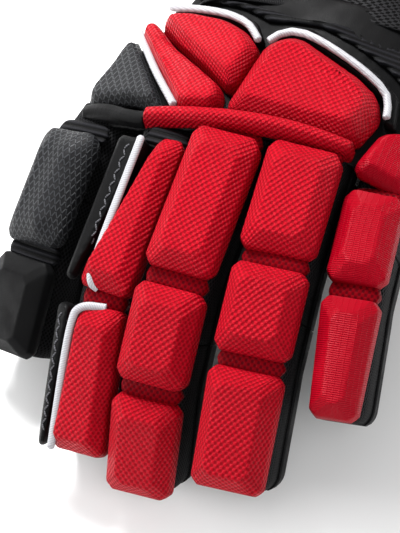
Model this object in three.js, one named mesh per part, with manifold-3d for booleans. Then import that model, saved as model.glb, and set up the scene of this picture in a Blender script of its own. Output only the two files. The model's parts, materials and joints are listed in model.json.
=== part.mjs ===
// A left-hand ice hockey glove lying palm down: fingers towards -Y, cuff towards +Y,
// thumb on the -X side and the back of the hand facing +Z. Millimetres and degrees.
import * as THREE from "three";
import { mergeVertices } from "three/addons/utils/BufferGeometryUtils.js";
import Module from "manifold-3d";

const wasm = await Module();
wasm.setup();

// ---- Driving dimensions ----
const clearance = 0.4; // between two pieces that touch
const foldGap = 1.6; // from a hinge line to the end of the pad beside it
const knuckleTravel = 45; // how far each knuckle bends from rest
const fingerTravel = 55; // how far each further finger joint bends from rest
const thumbTravel = 30;

const sleeveInset = 1.5; // a sleeve is this much narrower than its pad on each side
const sleeveWall = 2;
const sleeveTop = 13; // rim of a sleeve above the hinge line
const sleeveDepth = 13; // palm side of a sleeve below the hinge line
const sleeveCorner = 5;
const padBase = sleeveTop + clearance; // underside of a pad above the hinge line
const padHeight = 13.5;
const padBevel = 6.5; // width of the chiselled edge round a pad's top face
const bevelDrop = 5.5;
const pipingRadius = 1.9;
const guardPlate = 1.6; // thickness of the thumb's plastic plates

const archCrest = 78; // hinge height at the middle of the knuckles
const archCentre = 2;
const archThumbDrop = 40.4; // how far the knuckles' arch falls by the thumb side wall
const archOuterDrop = 25.3; // and by the outer side wall
const handSlope = Math.tan(THREE.MathUtils.degToRad(7)); // fall from knuckles to wrist
const panelLevel = 11.5; // underside of the back panel above the hinge line
const panelThickness = 2.5;
const plateThickness = 2;
const handPadHeight = 12.5;
const handFront = 2.8;
const palmFront = 10.5;
const handBack = 89;
const palmWall = 3;
const overlayThickness = 1.6;
const overlayGap = 1; // under the palm, whose curved underside is faceted
const outerMargin = 3.4; // from the little finger's outer side to the outer side wall
const thumbMargin = 1.5; // from the thumb's outer side to the thumb side wall
const handThumbBack = -66; // the thumb side wall at the wrist
const thumbNotch = 11; // the hand's front edge stands this far back above the thumb
const palmHeel = 12; // height of the palm at the wrist
const weltWidth = 6.5;

const cuffLength = 84;
const cuffStart = 3; // from the wrist hinge line to the cuff
const wristHinge = handBack + 7;
const wristHingeHeight = 45;
const cuffWall = 3.5;
const cuffRoll = 11;
const cuffHalfWidth = [61, 73]; // at the wrist and at the mouth
const cuffTop = [83, 92];
const cuffCentre = -4;

const digitGap = 2.2; // between neighbouring fingers at the knuckles
const thumbGap = 5; // between the index finger and the thumb
const middleX = -14.5;

// Each digit: where its first hinge is, how it points at rest, and its segments.
const digits = {
  index: {
    y: -1, splay: -5.3, roll: 0, width: 32, tilt: 0.15, taper: 0,
    lengths: [69.5, 66], flex: [17.5, 20.5], turn: [0, 5.5],
  },
  middle: {
    y: 1.5, splay: -3.5, roll: 0, width: 31.5, tilt: -0.01, taper: 1,
    lengths: [63.5, 42.5, 46], flex: [12.5, 20.5, 16], turn: [0, 1, 1.7],
  },
  ring: {
    y: 2, splay: 0.9, roll: 0, width: 33, tilt: -0.07, taper: 0.8,
    lengths: [49, 40, 54], flex: [10, 12, 12], turn: [0, 0, 0],
  },
  little: {
    y: -6.5, splay: 3.8, roll: 0, width: 26, tilt: -0.06, taper: 2.5,
    lengths: [40.5, 53.5], flex: [9, 15], turn: [0, 1],
  },
  thumb: {
    y: 5.5, splay: -5.5, roll: -20, width: 33, tilt: 0.04, taper: 1.5,
    lengths: [53, 45.5], flex: [18.5, 16], turn: [0, 2],
  },
};

// Each finger stands beside its neighbour, outwards from the middle finger.
function beside(neighbour, digit, gap, side) {
  return neighbour.x + side * ((neighbour.width + digit.width) / 2 + gap);
}
digits.middle.x = middleX;
digits.index.x = beside(digits.middle, digits.index, digitGap, -1);
digits.ring.x = beside(digits.middle, digits.ring, digitGap, 1);
digits.little.x = beside(digits.ring, digits.little, digitGap, 1);
digits.thumb.x = beside(digits.index, digits.thumb, thumbGap, -1);
const handOuter = digits.little.x + digits.little.width / 2 + outerMargin;
const handThumbFront = digits.thumb.x - digits.thumb.width / 2 - thumbMargin;
const archThumbSide = archThumbDrop / (handThumbFront - archCentre) ** 2;
const archOuterSide = archOuterDrop / (handOuter - archCentre) ** 2;

// ---- Materials ----
function material(color, roughness, metalness = 0) {
  return new THREE.MeshStandardMaterial({ color, roughness, metalness });
}
const weave = () => material(0xb50f1e, 0.62);
const ribbedRed = () => material(0xa80f1c, 0.58);
const blackShell = () => material(0x1c1c1e, 0.55);
const blackFabric = () => material(0x151517, 0.8);
const palmLeather = () => material(0x1a1a1b, 0.7);
const silverPiping = () => material(0xc9c9cc, 0.32);
const plastic = () => material(0xdcdcd6, 0.45);

// ---- Solid tools ----
const vec = (x, y, z) => new THREE.Vector3(x, y, z);
const lerp = THREE.MathUtils.lerp;
const rad = THREE.MathUtils.degToRad;

function capTriangles(ring) {
  const normal = vec(0, 0, 0);
  ring.forEach((p, i) => {
    const q = ring[(i + 1) % ring.length];
    normal.x += (p.y - q.y) * (p.z + q.z);
    normal.y += (p.z - q.z) * (p.x + q.x);
    normal.z += (p.x - q.x) * (p.y + q.y);
  });
  normal.normalize();
  const across = (Math.abs(normal.x) < 0.9 ? vec(1, 0, 0) : vec(0, 1, 0)).cross(normal);
  across.normalize();
  const up = normal.clone().cross(across);
  const flat = ring.map((p) => new THREE.Vector2(p.dot(across), p.dot(up)));
  return THREE.ShapeUtils.triangulateShape(flat, []);
}

// Joins equal rings of points into one closed solid that faces outwards.
function loft(rings, closed = false) {
  const count = rings[0].length;
  const points = rings.flat();
  const faces = [];
  const steps = closed ? rings.length : rings.length - 1;
  for (let r = 0; r < steps; r++) {
    const near = r * count;
    const far = ((r + 1) % rings.length) * count;
    for (let i = 0; i < count; i++) {
      const j = (i + 1) % count;
      faces.push([near + i, near + j, far + j], [near + i, far + j, far + i]);
    }
  }
  if (!closed) {
    const last = (rings.length - 1) * count;
    capTriangles(rings[0]).forEach(([a, b, c]) => faces.push([a, c, b]));
    capTriangles(rings.at(-1)).forEach(([a, b, c]) => faces.push([last + a, last + b, last + c]));
  }
  let volume = 0;
  for (const [a, b, c] of faces) {
    volume += points[a].dot(points[b].clone().cross(points[c]));
  }
  if (volume < 0) faces.forEach((f) => f.reverse());
  const geometry = new THREE.BufferGeometry().setFromPoints(points);
  geometry.setIndex(faces.flat());
  return geometry;
}

function toSolid(geometry) {
  const plain = new THREE.BufferGeometry();
  plain.setAttribute("position", geometry.getAttribute("position"));
  plain.setIndex(geometry.index);
  const merged = mergeVertices(plain, 1e-4);
  return new wasm.Manifold(
    new wasm.Mesh({
      numProp: 3,
      vertProperties: new Float32Array(merged.attributes.position.array),
      triVerts: new Uint32Array(merged.index.array),
    }),
  );
}

function cut(geometry, ...cutters) {
  const solid = cutters.reduce((left, cutter) => left.subtract(toSolid(cutter)), toSolid(geometry));
  const mesh = solid.getMesh();
  const result = new THREE.BufferGeometry();
  result.setAttribute("position", new THREE.BufferAttribute(mesh.vertProperties, 3));
  result.setIndex(new THREE.BufferAttribute(mesh.triVerts, 1));
  return result;
}

function addMesh(parent, name, geometry, finish) {
  const flat = geometry.toNonIndexed();
  flat.computeVertexNormals();
  const mesh = new THREE.Mesh(flat, finish);
  mesh.name = name;
  parent.add(mesh);
}

// Moves each edge of an outline inwards by its own distance.
function insetOutline(outline, distances) {
  const area = THREE.ShapeUtils.area(outline);
  const side = Math.sign(area);
  const edges = outline.map((p, i) => {
    const q = outline[(i + 1) % outline.length];
    const along = q.clone().sub(p).normalize();
    const inward = new THREE.Vector2(-along.y, along.x).multiplyScalar(side);
    const distance = Array.isArray(distances) ? distances[i] : distances;
    return { point: p.clone().addScaledVector(inward, distance), along };
  });
  return edges.map((edge, i) => {
    const before = edges[(i + edges.length - 1) % edges.length];
    const turn = before.along.cross(edge.along);
    if (Math.abs(turn) < 0.02) return edge.point;
    const step = edge.point.clone().sub(before.point).cross(edge.along) / turn;
    return before.point.clone().addScaledVector(before.along, step);
  });
}

function chamferOutline(outline, size) {
  return outline.flatMap((p, i) => {
    const before = outline[(i + outline.length - 1) % outline.length];
    const after = outline[(i + 1) % outline.length];
    const toward = (q) => p.clone().lerp(q, Math.min(size / p.distanceTo(q), 0.35));
    return [toward(before), toward(after)];
  });
}

// A padded block: the outline drawn in at each level, whose height may depend on the place.
function padBlock(outline, levels, corner) {
  const rings = levels.map(({ inset, height }) =>
    chamferOutline(insetOutline(outline, inset), corner).map((p) =>
      vec(p.x, p.y, height(p.x, p.y)),
    ),
  );
  return loft(rings);
}

function outlineOf(points) {
  return points.map(([x, y]) => new THREE.Vector2(x, y));
}

function tube(points, radius) {
  const curve = new THREE.CatmullRomCurve3(points, false, "centripetal");
  const steps = Math.max(6, Math.ceil(curve.getLength() / 6));
  const sides = 8;
  const rings = [];
  for (let i = 0; i <= steps; i++) {
    const centre = curve.getPointAt(i / steps);
    const along = curve.getTangentAt(i / steps);
    const across = along.clone().cross(vec(0, 0, 1)).normalize();
    const up = across.clone().cross(along);
    const ring = [];
    for (let k = 0; k < sides; k++) {
      const angle = (k / sides) * 2 * Math.PI;
      ring.push(
        centre
          .clone()
          .addScaledVector(across, radius * Math.cos(angle))
          .addScaledVector(up, radius * Math.sin(angle)),
      );
    }
    rings.push(ring);
  }
  return loft(rings);
}

function grooveFor(points) {
  const first = points[0].clone().lerp(points[1], -0.1);
  const last = points.at(-1).clone().lerp(points.at(-2), -0.1);
  return tube([first, ...points, last], pipingRadius + clearance);
}

// ---- Digits: padded blocks over fabric sleeves ----
function digitOutline(width, length, taper) {
  const half = width / 2;
  return outlineOf([
    [-half, -foldGap],
    [half, -foldGap],
    [half - taper, -length + foldGap],
    [taper - half, -length + foldGap],
  ]);
}

const digitTop = (tilt) => (x) => padBase + padHeight + tilt * x;

function padLevels(base, tilt, sideBevel) {
  const top = digitTop(tilt);
  const [near, right, far, left] = sideBevel;
  return [
    { inset: 0.8, height: () => base },
    { inset: 0, height: () => base + 3 },
    { inset: 0.7, height: (x, y) => top(x, y) - bevelDrop },
    { inset: [near, right, far, left], height: top },
  ];
}

function digitPad({ width, tilt }, length, taper, base = padBase) {
  const bevel = [padBevel, padBevel, padBevel, padBevel];
  return padBlock(digitOutline(width, length, taper), padLevels(base, tilt, bevel), 3);
}

// One U-shaped station of a sleeve. Its end leans back below the hinge line, to leave room to bend.
function sleeveRing(width, side, at, bend) {
  const half = width / 2 - sleeveInset;
  const lean = Math.tan(rad(bend / 2));
  const outer = [
    [-half, sleeveTop],
    [-half, 0],
    [-half, sleeveCorner - sleeveDepth],
    [sleeveCorner - half, -sleeveDepth],
    [half - sleeveCorner, -sleeveDepth],
    [half, sleeveCorner - sleeveDepth],
    [half, 0],
    [half, sleeveTop],
  ];
  const inner = outer
    .map(([x, z]) => [
      x - Math.sign(x) * (Math.abs(x) === half ? sleeveWall : sleeveWall / 2),
      z === -sleeveDepth ? z + sleeveWall : z,
    ])
    .reverse();
  return [...outer, ...inner].map(([x, z]) => vec(x, at + side * Math.max(0, -z) * lean, z));
}

function openSleeve(width, length, bendStart, bendEnd) {
  return loft([
    sleeveRing(width, -1, -foldGap, bendStart),
    sleeveRing(width, 1, -length + foldGap, bendEnd),
  ]);
}

// The last sleeve of a digit has a closed, rounded tip.
function tipSleeve(width, length, bendStart) {
  const half = width / 2 - sleeveInset;
  const lean = Math.tan(rad(bendStart / 2));
  const section = (w, depth, corner, place) =>
    [
      [-w, sleeveTop],
      [-w, 0],
      [-w, corner - depth],
      [corner - w, -depth],
      [w - corner, -depth],
      [w, corner - depth],
      [w, 0],
      [w, sleeveTop],
    ].map(([x, z]) => vec(x, place(z), z));
  const start = (z) => -foldGap - Math.max(0, -z) * lean;
  const tip = -length + foldGap;
  const body = loft([
    section(half, sleeveDepth, sleeveCorner, start),
    section(half, sleeveDepth, sleeveCorner, () => tip + 9),
    section(half - 1.5, sleeveDepth - 2.5, sleeveCorner, () => tip + 3),
    section(half - 5, sleeveDepth - 7, sleeveCorner - 2, () => tip),
  ]);
  const w = half - sleeveWall;
  const hollow = loft([
    section(w, sleeveDepth - sleeveWall, sleeveCorner - 1, () => 10),
    section(w, sleeveDepth - sleeveWall, sleeveCorner - 1, () => tip + 10),
    section(w - 3, sleeveDepth - 5, sleeveCorner - 2, () => tip + 4),
  ]);
  const open = hollow.getAttribute("position");
  for (let i = 0; i < open.count; i++) {
    if (open.getZ(i) > sleeveTop - 1) open.setZ(i, sleeveTop + 4);
  }
  return cut(body, hollow);
}

// The index finger's pads carry a black wall on the thumb side, behind a line of piping.
function addIndexPad(parent, number, width, length, tilt, lineStart, lineEnd) {
  const half = width / 2;
  const near = -foldGap;
  const far = -length + foldGap;
  const lineX = (y) => lerp(lineStart, lineEnd, (y - near) / (far - near));
  const top = digitTop(tilt);
  const room = pipingRadius + clearance;
  const padOutline = outlineOf([
    [lineX(near) + room, near],
    [half, near],
    [half, far],
    [lineX(far) + room, far],
  ]);
  const levels = padLevels(padBase, tilt, [padBevel, padBevel, padBevel, 1.5]);
  addMesh(parent, `index_pad_${number}`, padBlock(padOutline, levels, 2), weave());

  const wallOutline = outlineOf([
    [-half, near],
    [lineX(near) - room, near],
    [lineX(far) - room, far],
    [-half, far],
  ]);
  const lowEdge = padBase + 7;
  const slope = (x, y) => {
    const across = (x + half) / (lineX(y) - room + half);
    return lerp(lowEdge, top(lineX(y), y) - 2.5, Math.min(1, across));
  };
  const wallLevels = [
    { inset: 0.8, height: () => padBase },
    { inset: 0, height: () => padBase + 3 },
    { inset: [0, 0.4, 0, 0.4], height: (x, y) => slope(x, y) - 1.5 },
    { inset: [1.5, 0.8, 1.5, 2], height: slope },
  ];
  addMesh(parent, `index_side_wall_${number}`, padBlock(wallOutline, wallLevels, 1.5), blackShell());

  const path = [0, 0.5, 1].map((t) => {
    const y = lerp(near - 1.5, far + 1.5, t);
    return vec(lineX(y), y, top(lineX(y), y) - 2.8);
  });
  addMesh(parent, `index_piping_${number}`, tube(path, pipingRadius), silverPiping());
}

function addThumbPad(parent, number, spec, length, taper) {
  const plate = padBlock(
    insetOutline(digitOutline(spec.width, length, taper), 3),
    [
      { inset: 0, height: () => padBase },
      { inset: 0, height: () => padBase + guardPlate },
    ],
    3,
  );
  addMesh(parent, `thumb_guard_plate_${number}`, plate, plastic());
  const base = padBase + guardPlate + clearance;
  addMesh(parent, `thumb_pad_${number}`, digitPad(spec, length, taper, base), blackShell());
}

function hingeHeight(x) {
  const across = x - archCentre;
  const fall = across < 0 ? archThumbSide : archOuterSide;
  return archCrest - fall * across * across;
}

function addDigit(glove, name, spec) {
  let frame = new THREE.Group();
  frame.position.set(spec.x, spec.y, hingeHeight(spec.x));
  frame.rotation.z = rad(spec.splay);
  glove.add(frame);
  const isThumb = name === "thumb";
  const rolledCorner = isThumb ? 16 : 0; // a rolled sleeve's lower corner needs more room to bend
  const bendAt = (i) => {
    if (i === spec.lengths.length) return 0;
    const knuckle = i === 0 ? knuckleTravel : fingerTravel;
    return spec.flex[i] + (isThumb ? thumbTravel : knuckle) + rolledCorner;
  };
  spec.lengths.forEach((length, i) => {
    const hinge = new THREE.Group();
    hinge.name = `${name}_hinge_${i + 1}`;
    hinge.rotation.set(rad(spec.flex[i]), 0, rad(spec.turn[i]), "ZXY");
    frame.add(hinge);
    const segment = new THREE.Group();
    segment.rotation.y = rad(spec.roll);
    hinge.add(segment);
    const number = i + 1;
    const isTip = number === spec.lengths.length;
    const taper = isTip ? spec.taper : 0;
    const sleeve = isTip
      ? tipSleeve(spec.width - 2 * taper, length, bendAt(i))
      : openSleeve(spec.width, length, bendAt(i), bendAt(i + 1));
    addMesh(segment, `${name}_sleeve_${number}`, sleeve, isThumb ? blackFabric() : palmLeather());
    if (name === "index") {
      const lineStart = i === 0 ? 1 : 9 - spec.width / 2;
      addIndexPad(segment, number, spec.width, length, spec.tilt, lineStart, 6 - spec.width / 2);
    } else if (isThumb) {
      addThumbPad(segment, number, spec, length, taper);
    } else {
      const finish = name === "little" ? ribbedRed() : weave();
      addMesh(segment, `${name}_pad_${number}`, digitPad(spec, length, taper), finish);
    }
    frame = new THREE.Group();
    frame.position.y = -length;
    hinge.add(frame);
  });
}

// ---- Hand ----
// Height of a level above the hinge line, over any point of the back of the hand.
function backHeight(x, y, level) {
  return hingeHeight(x) - handSlope * y + level;
}

function thumbSideWall(y) {
  const t = THREE.MathUtils.clamp((y - palmFront) / (handBack - palmFront), 0, 1);
  return lerp(handThumbFront, handThumbBack, t * t * (3 - 2 * t) * 0.6 + t * 0.4);
}

// The front edge of the hand steps back on the thumb side, and the step fades towards the wrist.
function handRow(station, x) {
  const side = THREE.MathUtils.smoothstep(-x, 58, 92);
  const fade = THREE.MathUtils.clamp((handBack - station) / (handBack - handFront), 0, 1);
  return station + thumbNotch * side * fade;
}

// A strip that follows the arch of the hand between two levels.
function archStrip(stations, xRange, low, high, samples = 20) {
  return loft(
    stations.map((y) => {
      const [left, right] = xRange(y);
      const row = [];
      for (let i = 0; i <= samples; i++) row.push(lerp(left, right, i / samples));
      return [
        ...row.map((x) => overHand(x, y, high)),
        ...row.reverse().map((x) => overHand(x, y, low)),
      ];
    }),
  );
}

const panelTop = panelLevel + panelThickness;

// Everything below the back panel's upper face, taken out of what rests on it.
function underPanel() {
  return archStrip([-30, 120], () => [-125, 95], -30, panelTop + clearance, 44);
}

function overHand(x, station, level) {
  const y = handRow(station, x);
  return vec(x, y, backHeight(x, y, level));
}

function palmHeight(x, y) {
  const t = THREE.MathUtils.clamp((y - palmFront) / (handBack - palmFront), 0, 1);
  const rise = x < 0 ? 0.0027 : 0.0016;
  const atKnuckles = 50 - rise * x * x;
  return lerp(atKnuckles, palmHeel, t);
}

function palmRing(y, left, right, wall) {
  const samples = 12;
  const rim = panelLevel - clearance;
  const row = (inset) => {
    const xs = [];
    for (let i = 0; i <= samples; i++) xs.push(lerp(left + inset, right - inset, i / samples));
    return xs;
  };
  const floor = (x, inset) => {
    const nearSide = Math.min(x - left, right - x) - inset;
    const corner = Math.max(0, 1 - nearSide / 12);
    const at = handRow(y, x);
    return vec(x, at, palmHeight(x, at) + inset + 6 * corner * corner);
  };
  return [
    overHand(left, y, rim),
    ...row(0).map((x) => floor(x, 0)),
    overHand(right, y, rim),
    overHand(right - wall, y, rim),
    ...row(wall).reverse().map((x) => floor(x, wall)),
    overHand(left + wall, y, rim),
  ];
}

function addHandShell(glove) {
  const sides = (y) => [thumbSideWall(y), handOuter];
  const stations = [handFront, palmFront, 30, 50, 70, handBack];
  const panel = archStrip(stations, sides, panelLevel, panelTop);
  addMesh(glove, "back_panel", panel, blackFabric());
  const plateTop = panelLevel - clearance;
  const plate = archStrip(
    [palmFront + 3, 32, 52, handBack - 8],
    (y) => [thumbSideWall(y) + 26, handOuter - 12],
    plateTop - plateThickness,
    plateTop,
  );
  addMesh(glove, "back_guard_plate", plate, plastic());
  const rings = stations.slice(1).map((y) => palmRing(y, ...sides(y), palmWall));
  addMesh(glove, "palm_shell", loft(rings), palmLeather());
  const overlay = [24, 45, 66, 80].map((y) => {
    const xs = [-46, -30, -15, 0, 15, 30, 44];
    const under = (x) => palmHeight(x, y) - overlayGap;
    return [
      ...xs.map((x) => vec(x, y, under(x))),
      ...xs.toReversed().map((x) => vec(x, y, under(x) - overlayThickness)),
    ];
  });
  addMesh(glove, "palm_overlay", loft(overlay), palmLeather());
}

// The welt that runs across the knuckles between the finger pads and the back pads.
function addKnuckleWelts(glove) {
  const welt = (left, right, height) => {
    const stations = [
      [0, panelTop + 1, height - 3],
      [1.5, panelTop + clearance, height],
      [weltWidth - 1.5, panelTop + clearance, height],
      [weltWidth, panelTop + 1, height - 3],
    ];
    return loft(
      stations.map(([step, low, high]) => {
        const y = handFront + step;
        const xs = [];
        for (let i = 0; i <= 16; i++) xs.push(lerp(left, right, i / 16));
        return [
          ...xs.map((x) => overHand(x, y, high)),
          ...xs.toReversed().map((x) => overHand(x, y, low)),
        ];
      }),
    );
  };
  const meet = -58;
  addMesh(glove, "knuckle_welt_red", welt(meet + clearance, 37, 25), weave());
  addMesh(glove, "knuckle_welt_black", welt(-96, meet - clearance, 22), blackFabric());
}

const backPadTop = panelTop + handPadHeight;
const backPadFront = handFront + weltWidth + 1;

function backPadLevels(top, bevel) {
  return [
    { inset: 0.6, height: (x, y) => backHeight(x, y, panelTop - 4) },
    { inset: 0, height: (x, y) => backHeight(x, y, panelTop + 3) },
    { inset: 0.8, height: (x, y) => backHeight(x, y, top - 5) },
    { inset: bevel, height: (x, y) => backHeight(x, y, top) },
  ];
}

function pathOnBack(points, level) {
  return points.map(([x, y]) => vec(x, y, backHeight(x, y, level)));
}

function addBackPads(glove) {
  const floor = underPanel();
  const webLine = pathOnBack([[-46, backPadFront + 1], [-64, 33], [-86, 63]], 22);
  const centreLine = pathOnBack([[-73, 74], [-59, 71], [-40, 66], [-28, 60], [-20, 51]], 22.5);
  const outerLine = pathOnBack(
    [[-15.5, 51], [-10, 57.5], [-1, 58.5], [31, 46.5], [42, 39], [45, 28]],
    22.5,
  );
  const webGroove = grooveFor(webLine);
  const centreGroove = grooveFor(centreLine);
  const outerGroove = grooveFor(outerLine);

  const thumbRoot = outlineOf([
    [-52, backPadFront + 1], [-70, backPadFront + 7], [-96, backPadFront + 11.5], [-97, 29],
    [-92, 41], [-90, 52], [-87, 60], [-69, 36],
  ]);
  const thumbRootPad = padBlock(thumbRoot, backPadLevels(23.5, 2.5), 2);
  addMesh(glove, "thumb_root_pad", cut(thumbRootPad, floor, webGroove), blackShell());

  const web = outlineOf([
    [-43, backPadFront], [-24, backPadFront], [-26, 21], [-44, 34.5], [-60, 47], [-77, 65],
    [-83, 60.5], [-61, 33],
  ]);
  const webPad = padBlock(web, backPadLevels(backPadTop, 2.2), 2);
  addMesh(glove, "thumb_web_pad", cut(webPad, floor, webGroove), weave());

  const centre = outlineOf([
    [-22.5, 22], [-18, 46], [-27, 55.5], [-39, 62], [-58, 67.5], [-71, 69.5], [-73, 63], [-58, 49],
    [-42, 36.5],
  ]);
  const centrePad = padBlock(centre, backPadLevels(backPadTop, 4), 2);
  addMesh(glove, "centre_back_pad", cut(centrePad, floor, centreGroove), weave());

  const outer = outlineOf([
    [-21, backPadFront], [37, backPadFront], [41.5, 28], [38, 37], [29, 42.5], [-2, 55.5],
    [-9, 54.5], [-16, 48],
  ]);
  const outerPad = padBlock(outer, backPadLevels(backPadTop, 6), 2);
  addMesh(glove, "outer_back_pad", cut(outerPad, floor, outerGroove), weave());

  addMesh(glove, "thumb_web_piping", tube(webLine, pipingRadius), silverPiping());
  addMesh(glove, "centre_pad_piping", tube(centreLine, pipingRadius), silverPiping());
  addMesh(glove, "outer_pad_piping", tube(outerLine, pipingRadius), silverPiping());
  addBackWalls(glove, floor, centreGroove, outerGroove);
}

// Black walls stand behind the piping on the wrist side of the back pads.
function addBackWalls(glove, floor, centreGroove, outerGroove) {
  const levels = [
    { inset: 0.3, height: (x, y) => backHeight(x, y, panelTop - 4) },
    { inset: 0, height: (x, y) => backHeight(x, y, panelTop + 3) },
    { inset: 0.8, height: (x, y) => backHeight(x, y, panelTop + 6.5) },
  ];
  const centre = outlineOf([
    [-18, 53], [-25, 64], [-38, 70.5], [-58, 76], [-72, 78.5], [-71.5, 71.5], [-59, 69.5],
    [-40, 64.5], [-28, 58.5], [-20.5, 51.5],
  ]);
  const centreWall = padBlock(centre, levels, 1);
  const centreMesh = cut(centreWall, floor, centreGroove);
  addMesh(glove, "centre_pad_wall", centreMesh, blackShell());
  const outer = outlineOf([
    [-14.5, 54], [-11, 63.5], [0, 64.5], [34, 51.5], [46, 43], [49, 27], [43.5, 27], [40, 38.5],
    [30, 44.5], [-1.5, 57.3], [-9, 56.3],
  ]);
  const outerWall = padBlock(outer, levels, 1);
  const outerMesh = cut(outerWall, floor, outerGroove);
  addMesh(glove, "outer_pad_wall", outerMesh, blackShell());
}

function addOuterSide(glove) {
  const floor = underPanel();
  const little = digits.little.x;
  const knuckle = outlineOf([
    [little - 11.6, -2], [little + 11.4, -4], [little + 13.4, 14], [little + 4.4, 28],
    [little - 6.6, 20],
  ]);
  const knucklePad = padBlock(knuckle, backPadLevels(backPadTop - 1, 4), 2);
  addMesh(glove, "little_knuckle_pad", cut(knucklePad, floor), ribbedRed());

  // A pad on the outer edge of the hand, over the side wall.
  const face = handOuter + clearance;
  const outline = (inset) => {
    const low = (y) => palmHeight(handOuter, y) + 9 + inset;
    const high = (y) => backHeight(handOuter, y, panelLevel - 1) - inset;
    const near = palmFront + 2 + inset;
    const far = handBack - 6 - inset;
    const middle = (near + far) / 2;
    return [
      [near, low(near)], [middle, low(middle)], [far, low(far)],
      [far, high(far)], [middle, high(middle)], [near, high(near)],
    ];
  };
  const depths = [[1, 0], [0, 2.5], [1, 7], [5, 9.5]];
  const side = depths.map(([inset, out]) => outline(inset).map(([y, z]) => vec(face + out, y, z)));
  addMesh(glove, "outer_side_pad", loft(side), ribbedRed());
}

// The ribbed stretch panel over the wrist, behind the back pads.
function addWristPanel(glove) {
  const little = digits.little.x;
  const outline = outlineOf([
    [-64, 83], [-57, 81], [-37, 75.5], [-22, 68], [-12, 69], [2, 69.5], [37, 56.5],
    [little - 0.6, 47], [little + 1.4, 34], [little + 13.4, 24], [little + 14.4, handBack - 1],
    [-63, handBack - 1],
  ]);
  const levels = [
    { inset: 0.4, height: (x, y) => backHeight(x, y, panelTop - 4) },
    { inset: 0, height: (x, y) => backHeight(x, y, panelTop + 2) },
    { inset: 1.5, height: (x, y) => backHeight(x, y, panelTop + 4) },
  ];
  const panel = padBlock(outline, levels, 1);
  addMesh(glove, "wrist_flex_panel", cut(panel, underPanel()), blackFabric());
}

// ---- Cuff ----
// A point of the cuff's wall. The underside is flat, where the glove stands on it.
function cuffPoint(angle, y, offset) {
  const t = (y - cuffStart) / cuffLength;
  const halfWidth = lerp(...cuffHalfWidth, t) + offset;
  const low = -9;
  const high = lerp(...cuffTop, t);
  const middle = (high + low) / 2;
  const halfHeight = (high - low) / 2 + offset;
  const bulge = (value) => Math.sign(value) * Math.abs(value) ** 0.82;
  const x = cuffCentre + halfWidth * bulge(Math.cos(angle));
  const z = middle + halfHeight * bulge(Math.sin(angle));
  return vec(x, y, Math.max(z, -offset) - wristHingeHeight);
}

function cuffStrip(stations, from, to, samples) {
  return loft(
    stations.map(([y, outer, inner, bevel]) => {
      const angles = [];
      for (let i = 0; i <= samples; i++) angles.push(rad(lerp(from, to, i / samples)));
      return [
        ...angles.map((a, i) => {
          const drop = i === 0 || i === samples ? bevel : 0;
          return cuffPoint(a, y, outer - drop);
        }),
        ...angles.toReversed().map((a) => cuffPoint(a, y, inner)),
      ];
    }),
  );
}

function cuffBand(near, far, outer, inner) {
  const rings = [];
  const samples = 48;
  for (let i = 0; i < samples; i++) {
    const angle = (i / samples) * 2 * Math.PI;
    rings.push([
      cuffPoint(angle, near, outer),
      cuffPoint(angle, far, outer),
      cuffPoint(angle, far, inner),
      cuffPoint(angle, near, inner),
    ]);
  }
  return loft(rings, true);
}

function addCuff(glove) {
  const cuff = new THREE.Group();
  cuff.name = "cuff_hinge";
  cuff.position.set(0, wristHinge, wristHingeHeight);
  glove.add(cuff);
  const end = cuffStart + cuffLength;
  const bindingWidth = 5;
  const wallEnd = end - bindingWidth - clearance;
  const wall = [cuffStart, 25, 50, wallEnd].map((y) => [y, 0, -cuffWall, 0]);
  const split = 8; // the back and palm halves meet this far below the middle
  const seam = 0.5;
  addMesh(cuff, "cuff_back_shell", cuffStrip(wall, -split, 180 + split, 30), blackShell());
  const palm = cuffStrip(wall, 180 + split + seam, 360 - split - seam, 26);
  addMesh(cuff, "cuff_palm_panel", palm, palmLeather());
  addMesh(cuff, "cuff_binding", cuffBand(wallEnd + clearance, end, 0, -cuffWall - 1), blackFabric());

  const plate = [cuffStart + 4, 40, wallEnd - 4].map((y) => [
    y, -cuffWall - clearance, -cuffWall - clearance - plateThickness, 0,
  ]);
  addMesh(cuff, "cuff_guard_plate", cuffStrip(plate, 20, 160, 22), plastic());
  const linerOuter = -cuffWall - plateThickness - 2 * clearance;
  const liner = cuffBand(cuffStart + 2, wallEnd - 1, linerOuter, linerOuter - 2);
  addMesh(cuff, "cuff_liner", liner, blackFabric());

  const roll = (share) => [
    [cuffStart + 6, share * cuffRoll * 0.3],
    [cuffStart + 11, share * cuffRoll * 0.85],
    [cuffStart + 30, share * cuffRoll],
    [wallEnd - 14, share * cuffRoll],
    [wallEnd - 4, share * cuffRoll * 0.8],
    [wallEnd, share * cuffRoll * 0.3],
  ];
  const rollStrip = (share, from, to) =>
    cuffStrip(
      roll(share).map(([y, thick]) => [y, clearance + thick, clearance, thick * 0.6]),
      from, to, 10,
    );
  addMesh(cuff, "cuff_roll_outer", rollStrip(0.85, -4, 50), weave());
  addMesh(cuff, "cuff_roll_centre", rollStrip(1, 53, 127), weave());
  addMesh(cuff, "cuff_roll_thumb_side", rollStrip(0.85, 130, 184), blackShell());
}

// ---- Assembly ----
const glove = new THREE.Group();
for (const [name, spec] of Object.entries(digits)) addDigit(glove, name, spec);
addHandShell(glove);
addKnuckleWelts(glove);
addBackPads(glove);
addOuterSide(glove);
addWristPanel(glove);
addCuff(glove);

// The origin is the middle of the underside of the whole glove.
const extent = new THREE.Box3().setFromObject(glove, true);
const middle = extent.getCenter(vec(0, 0, 0));
glove.position.set(-middle.x, -middle.y, -extent.min.z);

export default glove;
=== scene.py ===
"""A left-hand ice hockey glove: padded fingers and thumb, back of hand, palm and cuff."""

import json
import math

import bmesh
import bpy
import numpy as np
from mathutils import Matrix, Vector
from mathutils.bvhtree import BVHTree

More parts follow.
